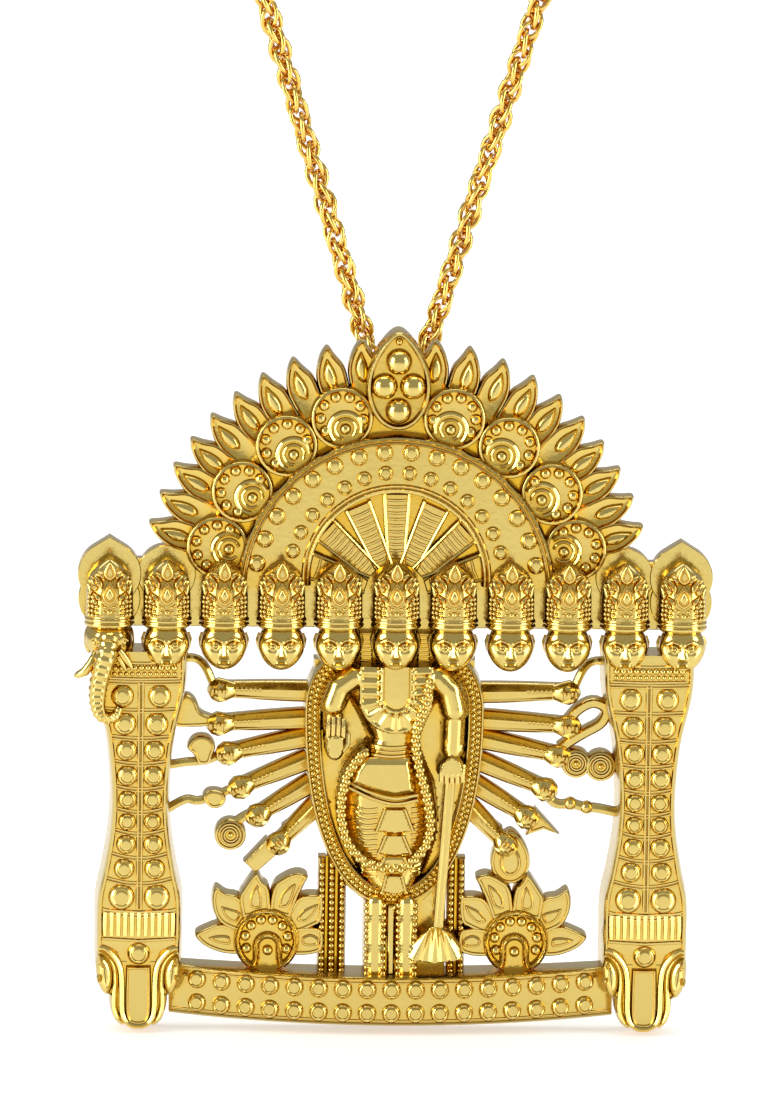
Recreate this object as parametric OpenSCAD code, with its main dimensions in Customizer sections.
// Temple jewellery necklace: a cast gold pendant that hangs by a strap bail on a rope chain.
// The origin is the middle of the neck opening. +Z is up and the pendant faces -Y.

/* [Chain] */
// Thickness of the rope chain
chain_d = 1.8; // [1.6:0.1:2]
// Wire thickness of the jump rings
ring_wire_d = 0.6; // [0.5:0.05:0.7]
// Thickness of the clasp
clasp_t = 1.2; // [1:0.1:1.3]

/* [Bail] */
// Width of the strap bail
bail_w = 1.8; // [1.4:0.1:1.9]
// Thickness of the strap's metal
bail_t = 0.6; // [0.5:0.1:0.8]

/* [Pendant plate] */
// Thickness of the casting's back plate
plate_t = 1.5; // [1.3:0.1:1.7]
// Height of the flame fringe above the back
fringe_h = 2; // [1.8:0.1:2.2]
// Height of the rosettes' rims
rosette_h = 3; // [2.8:0.1:3.2]
// Height of the arch band
arch_h = 3.5; // [3.3:0.1:3.7]
// How far the small bosses stand proud
boss_proud = 0.35; // [0.2:0.05:0.5]

/* [Pendant relief] */
// Height of the base bar's front
base_h = 5.2; // [4.8:0.1:5.6]
// Height of the pillars' fronts
pillar_h = 4.6; // [4.2:0.1:5]
// Height of the mandorla band
mandorla_h = 3.4; // [3:0.1:3.8]
// Height of the figure's body
body_h = 4.6; // [4.2:0.1:4.9]
// Radius of the side arms
arm_r = 0.85; // [0.7:0.05:0.95]

/* [Hidden] */
$fn = 64;

// The right half of the chain, from under the bail to the nape.
// Columns: x, y, z, and the fold of the lying sheet back over the shoulders in degrees.
CHAIN_ROUTE = [
    [0, -60, -165, 0],
    [0.7, -60, -164.9, 0],
    [1.3, -60, -164.5, 0],
    [1.8, -60, -163.9, 0],
    [2.1, -60, -163.1, 0],
    [2.5, -60, -161.8, 0],
    [5, -60, -153.6, 0],
    [13, -60, -127.5, 0],
    [22, -60, -98, 0],
    [30, -60, -71.8, 0],
    [36.7, -60, -50, 5],
    [40, -59, -39.5, 12],
    [43, -56.5, -30, 24],
    [46, -51.5, -21.5, 36],
    [49, -45, -14.5, 46],
    [52, -37, -8.5, 56],
    [55, -28.5, -4, 66],
    [57.5, -19, -0.5, 74],
    [59, -9.5, 2, 75],
    [59, 0, 4.5, 75],
    [57, 9.5, 7, 75],
    [53.5, 18.5, 9.5, 75],
    [48.5, 26.5, 11.5, 75],
    [42.5, 33.5, 13.5, 75],
    [35.5, 39.5, 15, 75],
    [27.5, 44.5, 16.5, 75],
    [18.5, 48.5, 17.5, 75],
    [12, 50.3, 18, 75],
    [7.4, 51, 18.2, 75],
];
CHAIN_SIDES = 8;

// Clasp and rings at the nape, in the plane of the folded sheet
nape = [0.7, 51.1, 18.2];
nape_tilt = 15;
ring_r = 1.4;
clasp_eye_x = -4.8;
clasp_hook_x = 3.4;

// The pendant's own frame lies flat: x across, y up from the feet, height above its back
hinge_y = 51;
hinge_gap = 2.1;
bail_in_r = 1.5;
foot_z = -165 - hinge_y;
back_y = -60 - hinge_gap;
sunk = 0.7;

// Flame fringe, in polar places about the halo's centre
halo_y = 34.8;
fringe_first = 8;
fringe_step = 7.25;
fringe_count = 10;
fringe_in_r = 15;
// Outline of one flame, tip leaning to the crest. Columns: radius, angle away from the crest
FLAME = [
    [18.7, -2],
    [19.5, -1.1],
    [20.4, 0],
    [20.1, 1.2],
    [19.6, 3],
    [19.1, 4.4],
];
flame_end = [18.7, 5.25];

// Rosettes along the halo
rosette_r = 2.43;
rosette_path_r = 14.9;
ROSETTE_ANGLES = [17.5, 37, 56.5, 75.5];

// Arch band between two circles that aren't concentric
arch_out_r = 12.6;
arch_in_r = 7.2;
arch_in_y = 36;
arch_low_y = 35.4;

// Heads: a centre head and five on each side
head_step = 4.52;
head_r = 1.92;
head_axis_h = 3.5;
chin_r = 1.5;
crown_low_y = 32.2;

// Pillars. Columns: y, half width
pillar_x = 20.05;
PILLAR = [
    [2.4, 3],
    [3.4, 3.4],
    [7.6, 3.45],
    [10.4, 3.3],
    [12.8, 2.75],
    [16, 2.25],
    [19.2, 2.2],
    [23.2, 2.6],
    [27, 3.5],
    [30.2, 3.64],
];
// Edges between the pillar's rows of bosses
PILLAR_ROWS = [27.8, 25.6, 23.4, 21.4, 19.4, 17.6, 15.9, 14, 12, 9.5];

// Base bar, with a slight droop and a convex front
base_half = 17.6;
base_low_y = 0.9;
base_top_y = 4.9;
base_droop = 0.6;
base_round_r = 70;
base_bosses = 17;
base_boss_step = 1.92;

// Lotus medallions. Columns: petal's direction, length
lotus_x = 9.9;
lotus_y = 7.1;
lotus_r = 2.5;
LOTUS_PETALS = [[180, 5.5], [138, 5.6], [101, 5.2], [56, 5.4], [24, 5], [-2, 4.4]];

// Mandorla: half width, depth below and above its widest line
mandorla_y = 25.4;
mandorla_half = 7.2;
mandorla_low = 15.7;
mandorla_up = 6.2;
mandorla_band = 1.5;

// Side arms. Columns: shoulder x, shoulder y, hand x, hand y
ARMS = [
    [7, 26.6, 13.4, 26.7],
    [7.1, 24.5, 13.5, 24.1],
    [7.1, 23.1, 12.8, 21.9],
    [6.9, 21.5, 11.9, 19.4],
    [6.6, 19.8, 10.6, 17.3],
    [6.2, 18.3, 9.2, 15.2],
];

// Half outline of the figure's body. Columns: y, half width
BODY = [
    [11.2, 1.4],
    [12, 3],
    [14.5, 3.6],
    [18.5, 3.2],
    [20, 2.6],
    [22.4, 1.9],
    [24, 2.4],
    [26, 3.9],
    [28, 4.2],
    [28.9, 3.4],
];

// A place about the halo's centre, by radius and angle away from the crest
function halo(r, a) = [r * sin(a), halo_y + r * cos(a)];

// An oval of blunt ends: half width, depth below, depth above
function oval(half, low, up) =
    [for (a = [0:10:350])
        [half * sign(cos(a)) * pow(abs(cos(a)), 0.91),
         (sin(a) < 0 ? low : up) * sign(sin(a)) * pow(abs(sin(a)), 0.91)]];

// A drop with its tip up: half width, depth below, height above
function drop(half, low, up) =
    [for (a = [0:15:345])
        sin(a) < 0 ? [half * cos(a), low * sin(a)]
                   : [half * cos(a) * (1 - 0.35 * pow(sin(a), 2)), up * sin(a)]];

module mirrored() {
    children();
    mirror([1, 0, 0]) children();
}

// A flat strip with round ends
module strip(from, to, w) {
    run = to - from;
    translate(from) circle(d = w);
    translate(to) circle(d = w);
    translate(from) rotate(atan2(run.y, run.x)) translate([0, -w / 2]) square([norm(run), w]);
}

// A round bar that lies along the plate, with a slightly larger ball at its far end
module bar(from, to, r1, r2, h) {
    run = to - from;
    translate([from.x, from.y, h]) rotate([0, 90, atan2(run.y, run.x)])
        cylinder(r1 = r1, r2 = r2, h = norm(run));
    translate([to.x, to.y, h]) sphere(r = r2 * 1.08);
}

// A flat boss with a smaller disc on it
module boss(x, y, r, h) {
    translate([x, y, sunk]) cylinder(r = r, h = h - sunk);
    translate([x, y, sunk]) cylinder(r = r * 0.62, h = h - sunk + 0.15);
}

// A mirrored outline from rows of y and half width
module waisted(rows) {
    right = [for (row = rows) [row[1], row[0]]];
    left = [for (i = [len(rows) - 1:-1:0]) [-rows[i][1], rows[i][0]]];
    polygon(concat(right, left));
}

// Flame fringe of one side, as one outline
module fringe_outline() {
    flames = [for (i = [0:fringe_count - 1]) for (p = FLAME)
        halo(p[0], fringe_first + i * fringe_step + p[1])];
    last = fringe_first + (fringe_count - 1) * fringe_step + flame_end[1];
    inner = [for (a = [last:-(last - 3) / 12:2.9]) halo(fringe_in_r, a)];
    polygon(concat([halo(flame_end[0], 3)], flames, [halo(flame_end[0], last)], inner));
}

module flame_ridges() {
    for (i = [0:fringe_count - 1]) {
        a = fringe_first + i * fringe_step;
        translate([0, 0, sunk]) linear_extrude(fringe_h + 0.3 - sunk)
            polygon([halo(17.3, a + 0.6), halo(18.2, a - 0.4), halo(19.4, a + 0.6),
                     halo(18.4, a + 2.6), halo(17.4, a + 2.6)]);
    }
}

module fringe() {
    linear_extrude(fringe_h) fringe_outline();
    flame_ridges();
}

module crest_drop() {
    translate([0, 51.2, sunk]) linear_extrude(3.4 - sunk)
        difference() {
            polygon(drop(2.55, 3.4, 4.4));
            polygon(drop(2.05, 2.8, 3.5));
        }
    translate([0, 51.2, 0]) linear_extrude(2.5) polygon(drop(2.3, 3.1, 4));
    for (p = [[0, 53.2], [-1.1, 51.3], [1.1, 51.3], [0, 49.3]])
        translate([p.x, p.y, 2.6]) sphere(r = 0.95);
}

module rosette() {
    difference() {
        translate([0, 0, sunk]) cylinder(r = rosette_r, h = rosette_h - sunk);
        translate([0, 0, 2.3]) cylinder(r = rosette_r - 0.35, h = 2);
    }
    for (a = [-120:40:120])
        translate([1.6 * sin(a), 1.6 * cos(a), 2.4]) sphere(r = 0.4);
    translate([0, -1, 1.9]) difference() {
        cylinder(r = 1, h = 0.95);
        translate([0, 0, 0.5]) cylinder(r = 0.72, h = 1);
    }
    translate([0, -1, 2.5]) sphere(r = 0.48);
}

module rosettes() {
    for (a = ROSETTE_ANGLES)
        translate(concat(halo(rosette_path_r, a), 0)) rotate(-a) rosette();
}

module arch_ring(out_r, in_r, low_y) {
    difference() {
        translate([0, halo_y]) circle(r = out_r);
        translate([0, arch_in_y]) circle(r = in_r);
        translate([-20, low_y - 30]) square([40, 30]);
    }
}

module arch_band() {
    translate([0, 0, sunk]) linear_extrude(arch_h - 0.5 - sunk)
        arch_ring(arch_out_r - 0.2, arch_in_r + 0.2, arch_low_y);
    translate([0, 0, sunk]) linear_extrude(arch_h - sunk)
        difference() {
            arch_ring(arch_out_r, arch_out_r - 1.4, arch_low_y + 0.1);
            translate([0, halo_y]) circle(r = arch_out_r - 0.45);
        }
    translate([0, 0, sunk]) linear_extrude(arch_h - 0.1 - sunk)
        difference() {
            translate([0, arch_in_y]) circle(r = arch_in_r + 0.45);
            translate([0, arch_in_y]) circle(r = arch_in_r);
            translate([-20, arch_low_y - 29.8]) square([40, 30]);
        }
    for (i = [0:7]) {
        out = 2.9 + i * 9;
        mirrored() translate([0, halo_y, 0]) rotate(-out) translate([0, 11.3, 0])
            boss(0, 0, 0.62, arch_h - 0.5 + boss_proud);
        mirrored() translate([0, halo_y, 0]) rotate(-out - 0.4) translate([0, 9.85 - i * 0.14, 0])
            boss(0, 0, 0.52, arch_h - 0.52 + boss_proud);
    }
}

module rays() {
    translate([0, 0, sunk]) linear_extrude(2.1 - sunk)
        polygon([[-1, 43], [1, 43], [0.8, 37.4], [-0.8, 37.4]]);
    mirrored() for (i = [1:3])
        translate([0, 34.6, 0]) rotate(-i * 24) translate([0, 0, sunk])
            linear_extrude(2.1 + 0.1 * i - sunk)
                polygon([[-1, 8 - i * 0.1], [1, 8 - i * 0.1], [0.7, 2.6], [-0.7, 2.6]]);
    for (y = [37.8:0.7:42.8])
        translate([-0.85, y, sunk]) cube([1.7, 0.3, 2.3 - sunk]);
}

// Half outline of a crowned head about its own axis, the crown's rim at zero
module head_profile() {
    intersection() {
        union() {
            translate([0, -1.2]) circle(r = head_r);
            translate([0, -1.9]) circle(r = chin_r);
            polygon([[0, -0.5], [2.1, 0], [2.12, 0.6], [1.95, 0.75], [2.02, 2.9], [1.3, 4.1],
                     [0.55, 4.6], [0.3, 5], [0, 5.1]]);
        }
        translate([0, -5]) square([3, 12]);
    }
}

module crowned_head() {
    translate([0, crown_low_y, head_axis_h]) rotate([-90, 0, 0]) rotate_extrude() head_profile();
}

module elephant_head() {
    crowned_head();
    mirrored() translate([1.3, 30.7, 2.2]) cylinder(r = 1.15, h = 2);
    bar([0, 30.6], [-0.3, 28], 1.1, 0.8, head_axis_h + 1.3);
    bar([-0.3, 28], [-0.5, 26], 0.75, 0.6, head_axis_h + 1.32);
    bar([-0.5, 26], [-0.1, 25], 0.55, 0.48, head_axis_h + 1.34);
    bar([-0.1, 25], [0.7, 25.2], 0.45, 0.4, head_axis_h + 1.36);
    bar([-1, 29.2], [-2.2, 28.2], 0.5, 0.25, head_axis_h + 0.4);
}

module heads() {
    for (i = [-4:5])
        translate([i * head_step, 0, 0]) crowned_head();
    translate([-5 * head_step, 0, 0]) elephant_head();
    for (i = [-1, 1])
        translate([i * head_step / 2 - 0.45, 29.4, sunk]) cube([0.9, 2.6, 2.8 - sunk]);
}

module foot_outline() {
    translate([0, 2.3]) circle(r = 2.25);
    translate([-2.25, 2.3]) square([4.5, 3]);
}

module pillar_outline() {
    waisted(PILLAR);
    foot_outline();
}

function pillar_half(y) = lookup(y, PILLAR);

module pillar() {
    core = [for (row = PILLAR) [row[0], 0.82 * row[1]]];
    linear_extrude(pillar_h - 0.9) pillar_outline();
    translate([0, 0, sunk]) linear_extrude(pillar_h - sunk) waisted(core);
    for (i = [0:len(PILLAR_ROWS) - 2]) {
        y = (PILLAR_ROWS[i] + PILLAR_ROWS[i + 1]) / 2;
        w = pillar_half(y);
        mirrored() boss(0.42 * w, y, 0.27 * w, pillar_h + boss_proud);
    }
    for (y = PILLAR_ROWS)
        translate([-0.75 * pillar_half(y), y - 0.13, sunk])
            cube([1.5 * pillar_half(y), 0.26, pillar_h + 0.1 - sunk]);
    translate([-0.15, 9.6, sunk]) cube([0.3, 18, pillar_h + 0.15 - sunk]);
    for (i = [-4:4])
        translate([i * 0.54 - 0.14, 7.6, sunk]) cube([0.28, 1.6, pillar_h + 0.18 - sunk]);
    translate([0, 6.1, sunk]) cylinder(r = 0.95, h = pillar_h + 0.3 - sunk);
    translate([0, 0, sunk]) linear_extrude(pillar_h + 0.2 - sunk) strip([0, 1.5], [0, 4.5], 2);
    for (i = [-3:3])
        translate([i * 0.95, 28.7, sunk]) cylinder(r = 0.4, h = pillar_h + 0.25 - sunk);
}

module base_outline() {
    low = [for (t = [-1:0.125:1]) [t * base_half, base_low_y - base_droop * (1 - t * t)]];
    top = [for (t = [1:-0.125:-1]) [t * base_half, base_top_y - base_droop * (1 - t * t)]];
    polygon(concat(low, top));
}

function base_front(x) = base_h - base_round_r + sqrt(base_round_r * base_round_r - x * x);

module base_bar() {
    intersection() {
        linear_extrude(base_h + 1) base_outline();
        translate([0, -2, base_h - base_round_r]) rotate([-90, 0, 0])
            cylinder(r = base_round_r, h = 10, $fn = 128);
    }
    half = (base_bosses - 1) / 2;
    for (i = [-half:half]) {
        x = i * base_boss_step;
        t = x / base_half;
        for (y = [1.95, 3.85])
            boss(x, y - base_droop * (1 - t * t), 0.72, base_front(x) - 0.05 + boss_proud);
    }
}

// A petal from the medallion's middle outward, its tip turned to one side
module lotus_petal_outline(length) {
    polygon([[1.6, -1], [length * 0.62, -1.1], [length * 0.85, -0.6], [length, 0.35],
             [length * 0.8, 0.75], [length * 0.6, 0.95], [1.6, 0.9]]);
}

module lotus() {
    for (i = [0:len(LOTUS_PETALS) - 1])
        linear_extrude(2.6 + 0.07 * i)
            rotate(LOTUS_PETALS[i][0]) mirror([0, LOTUS_PETALS[i][0] < 90 ? 1 : 0])
                lotus_petal_outline(LOTUS_PETALS[i][1]);
    difference() {
        cylinder(r = lotus_r, h = 3.6);
        translate([0, 0, 2.9]) cylinder(r = lotus_r - 0.4, h = 2);
    }
    for (a = [-90:36:90])
        translate([1.6 * sin(a), 1.6 * cos(a), 3]) sphere(r = 0.45);
    translate([0, -1.2, 2.4]) difference() {
        cylinder(r = 1, h = 1.1);
        translate([0, 0, 0.6]) cylinder(r = 0.7, h = 1);
    }
    translate([0, -1.2, 3.1]) sphere(r = 0.5);
}

// The mandorla's oval, drawn in from its edge
module mandorla_outline(inset) {
    translate([0, mandorla_y])
        polygon(oval(mandorla_half - inset, mandorla_low - inset, mandorla_up - inset));
}

module mandorla() {
    linear_extrude(mandorla_h)
        difference() {
            mandorla_outline(0);
            translate([0, mandorla_y])
                polygon(oval(mandorla_half - mandorla_band, mandorla_low - mandorla_band,
                             mandorla_up + 2));
            translate([-10, 29.3]) square([20, 10]);
        }
}

// Beaded columns beside the figure's legs, with slots cut right through the plate
module side_columns() {
    for (x = [-5.5, -4.75, -3.95])
        translate([x - 0.24, 4.2, sunk]) cube([0.48, 9, 2.7 - sunk]);
    for (x = [4.75, 5.5])
        translate([x - 0.24, 4.2, sunk]) cube([0.48, 9, 2.72 - sunk]);
}

module side_columns_outline() {
    translate([-5.85, 3.4]) square([2.25, 10]);
    translate([4.4, 3.4]) square([1.45, 10]);
}

module garland() {
    translate([0, 24, sunk]) linear_extrude(body_h + 0.3 - sunk)
        difference() {
            polygon(oval(4.4, 11.2, 4.8));
            polygon(oval(3.7, 10.5, 6.5));
            translate([-6, 4]) square([12, 6]);
        }
}

module collar() {
    translate([0, 29.4, sunk]) linear_extrude(body_h + 0.62 - sunk)
        difference() {
            polygon(oval(3.1, 6, 1));
            polygon(oval(1.3, 3.8, 2));
            translate([-6, -0.6]) square([12, 6]);
        }
}

module figure() {
    translate([0, 0, sunk]) linear_extrude(body_h - sunk) waisted(BODY);
    translate([0, 24, body_h - 3]) rotate([-90, 0, 0]) cylinder(r = 3.4, h = 4.2);
    translate([0, 13, body_h - 1.9]) rotate([-90, 0, 0]) cylinder(r1 = 2.5, r2 = 2.3, h = 7);
    translate([0, 28, body_h - 1.2]) rotate([-90, 0, 0]) cylinder(r = 1.3, h = 2.4);
    translate([-2.5, 19.4, sunk]) cube([5, 0.8, body_h + 0.75 - sunk]);
    garland();
    collar();
    mirrored() bar([1.2, 12], [1.2, 4.4], 0.95, 0.85, 3.1);
    mirrored() translate([1.3, 4.9, 3.3]) sphere(r = 1.05);
    bar([-4, 27], [-4.9, 23], 0.9, 0.8, 3.6);
    bar([-4.9, 23], [-4.6, 21.5], 0.8, 0.95, 4.3);
    translate([-4.7, 22.4, 4.4]) cylinder(r = 1.15, h = 1.1);
    bar([4, 27], [4.7, 22.6], 0.9, 0.7, 3.6);
    bar([4.7, 22.6], [4.5, 20.2], 0.75, 1.05, 4.2);
    bar([4.4, 19.6], [3.7, 8.3], 0.38, 0.4, 3.7);
    translate([0, 0, sunk]) linear_extrude(3.9 - sunk)
        polygon([[0.9, 5.2], [5.7, 5.2], [4.7, 8], [2.9, 8]]);
}

module arms() {
    for (i = [0:len(ARMS) - 1]) {
        shoulder = [ARMS[i][0], ARMS[i][1]];
        hand = [ARMS[i][2], ARMS[i][3]];
        wrist = shoulder + 0.72 * (hand - shoulder);
        bar(shoulder, hand, arm_r, arm_r, 1.2 + 0.03 * i);
        translate([wrist.x, wrist.y, 1.2 + 0.03 * i])
            rotate([0, 90, atan2(hand.y - wrist.y, hand.x - wrist.x)])
                cylinder(r = arm_r + 0.15, h = 0.6);
        translate([hand.x, hand.y, 1.4 + 0.03 * i]) sphere(r = arm_r + 0.3);
    }
}

module arms_outline() {
    for (row = ARMS)
        strip([row[0], row[1]], [row[2], row[3]], 2 * arm_r - 0.1);
}

// Rods that tie the top hands to the pillars
module rods_outline() {
    strip([14.3, 27.3], [15.6, 29.2], 0.8);
    strip([15.6, 29.2], [17.2, 29.2], 0.8);
}

module left_gifts_outline() {
    translate([-16.4, 25]) circle(r = 1.2);
    polygon([[-15.9, 24.1], [-13.7, 23.6], [-13.4, 24.6], [-15.6, 25]]);
    translate([-15.3, 22.2]) circle(r = 1.1);
    strip([-18, 20.5], [-13, 21.5], 0.9);
    translate([-14.2, 18.3]) circle(r = 1);
    strip([-18, 17.4], [-12, 19], 0.8);
    translate([-13, 15.1]) circle(r = 1.25);
    strip([-12.2, 15.9], [-10.8, 17], 0.9);
    strip([-9.6, 14.6], [-11.1, 12.3], 1.9);
}

module right_gifts_outline() {
    strip([13.9, 24.3], [16.2, 25.8], 0.85);
    strip([16.2, 25.8], [17, 24.9], 0.85);
    strip([17, 24.9], [14.3, 23.1], 0.85);
    strip([14.3, 23.1], [13.4, 22], 0.85);
    translate([14.5, 21]) circle(r = 1.2);
    translate([16.4, 20.8]) circle(r = 1.25);
    strip([12.2, 19.2], [12.8, 17.9], 1);
    strip([12.8, 17.9], [18, 17.1], 0.9);
    translate([14.2, 17.6]) circle(r = 0.6);
    polygon([[10.8, 15.3], [11.2, 17.4], [11.9, 17.1], [13.2, 15.3]]);
    translate([9.4, 13.1]) polygon(drop(1.55, 1.8, 2.6));
}

module gifts() {
    linear_extrude(2.05) left_gifts_outline();
    linear_extrude(2.05) right_gifts_outline();
    translate([-13, 15.1, sunk]) cylinder(r = 0.7, h = 2.4 - sunk);
    for (x = [14.5, 16.4])
        translate([x, 21.5 - x / 30, sunk]) cylinder(r = 0.6, h = 2.4 - sunk);
    translate([9.4, 13.1, sunk]) linear_extrude(2.5 - sunk) polygon(drop(1, 1.2, 1.8));
}

// The row of heads is backed by a plate with round domes at both ends
module heads_outline() {
    translate([-22.8, 31.8]) square([45.6, 5.4]);
    mirrored() {
        translate([22.6, 36]) circle(r = 2.5);
        translate([22.6, 36]) polygon([[-1.6, 1.9], [1.6, 1.9], [0.1, 2.95]]);
        translate([18.1, 36]) circle(r = 2.3);
        translate([22.6, 34]) circle(r = 2.45);
    }
    translate([-5.6, 28.6]) square([11.2, 4]);
}

// What backs the halo, the heads, the arms and the figure, as one flat outline
module plate_outline() {
    difference() {
        union() {
            difference() {
                translate([0, halo_y]) circle(r = 15.9);
                translate([-17, 18]) square([34, 13.9]);
            }
            heads_outline();
            mandorla_outline(0.6);
            side_columns_outline();
            mirrored() arms_outline();
            translate([-1.9, 3.6]) square([6.2, 8]);
        }
        for (x = [-5.14, -4.36])
            translate([x - 0.09, 5]) square([0.18, 7.6]);
        translate([5.03, 7.4]) square([0.18, 5.4]);
    }
}

module plate() {
    linear_extrude(plate_t) plate_outline();
}

// Strap over the chain, open to both sides, soldered to the back of the crest drop
module bail() {
    out_r = bail_in_r + bail_t;
    translate([-bail_w / 2, hinge_y, -hinge_gap]) rotate([90, 0, 90]) linear_extrude(bail_w) {
        difference() {
            circle(r = out_r);
            circle(r = bail_in_r);
            translate([-out_r - 1, 0]) square([2 * out_r + 2, out_r + 1]);
        }
        for (y = [-out_r, bail_in_r])
            translate([y, -0.05]) square([bail_t, hinge_gap + 0.6]);
    }
}

module pendant() {
    color("goldenrod")
    translate([0, back_y, foot_z]) rotate([90, 0, 0]) {
        plate();
        mirrored() fringe();
        crest_drop();
        mirrored() rosettes();
        arch_band();
        rays();
        heads();
        mirrored() translate([pillar_x, 0, 0]) pillar();
        base_bar();
        mirrored() translate([-lotus_x, lotus_y, 0]) lotus();
        mandorla();
        side_columns();
        figure();
        mirrored() arms();
        mirrored() linear_extrude(2) rods_outline();
        gifts();
        bail();
    }
}

// Corners of the chain's ring at one place on its route
function chain_place(i) = [CHAIN_ROUTE[i][0], CHAIN_ROUTE[i][1], CHAIN_ROUTE[i][2]];

function chain_run(i) =
    i == 0 ? [1, 0, 0] :
    i == len(CHAIN_ROUTE) - 1 ? chain_place(i) - chain_place(i - 1) :
    chain_place(i + 1) - chain_place(i - 1);

function chain_ring(i) =
    let (fold = CHAIN_ROUTE[i][3],
         out = [0, -cos(fold), sin(fold)],
         run = chain_run(i),
         side = cross(run, out) / norm(cross(run, out)),
         face = cross(side, run) / norm(cross(side, run)))
    [for (k = [0:CHAIN_SIDES - 1])
        let (a = 360 * (k + 0.5) / CHAIN_SIDES)
        chain_place(i) + chain_d / 2 * (cos(a) * face + sin(a) * side)];

module chain_half() {
    n = CHAIN_SIDES;
    count = len(CHAIN_ROUTE);
    corners = [for (i = [0:count - 1]) for (p = chain_ring(i)) p];
    walls = [for (i = [0:count - 2]) for (k = [0:n - 1])
        [i * n + k, i * n + (k + 1) % n, (i + 1) * n + (k + 1) % n, (i + 1) * n + k]];
    start = [[for (k = [n - 1:-1:0]) k]];
    end = [[for (k = [0:n - 1]) (count - 1) * n + k]];
    polyhedron(points = corners, faces = concat(walls, start, end), convexity = 8);
}

module chain_right() {
    color("gold") chain_half();
}

module chain_left() {
    color("gold") mirror([1, 0, 0]) chain_half();
}

module at_nape() {
    translate(nape) rotate([nape_tilt, 0, 0]) children();
}

module jump_ring(x) {
    color("gold") at_nape() translate([x, 0, 0]) rotate([90, 0, 0])
        rotate_extrude() translate([ring_r, 0]) circle(d = ring_wire_d);
}

module ring_left() {
    jump_ring(clasp_eye_x - ring_r);
}

module ring_right() {
    jump_ring(clasp_hook_x + ring_r);
}

module clasp() {
    color("gold") at_nape() {
        translate([0, 0, -clasp_t / 2]) linear_extrude(clasp_t)
            difference() {
                strip([-2.2, 0], [3, 0], 3.8);
                strip([-2.2, 0], [3, 0], 2.2);
            }
        translate([clasp_eye_x, 0, -0.45]) linear_extrude(0.9)
            difference() {
                circle(r = 1);
                circle(r = 0.55);
            }
    }
}

pendant();
chain_right();
chain_left();
ring_right();
ring_left();
clasp();
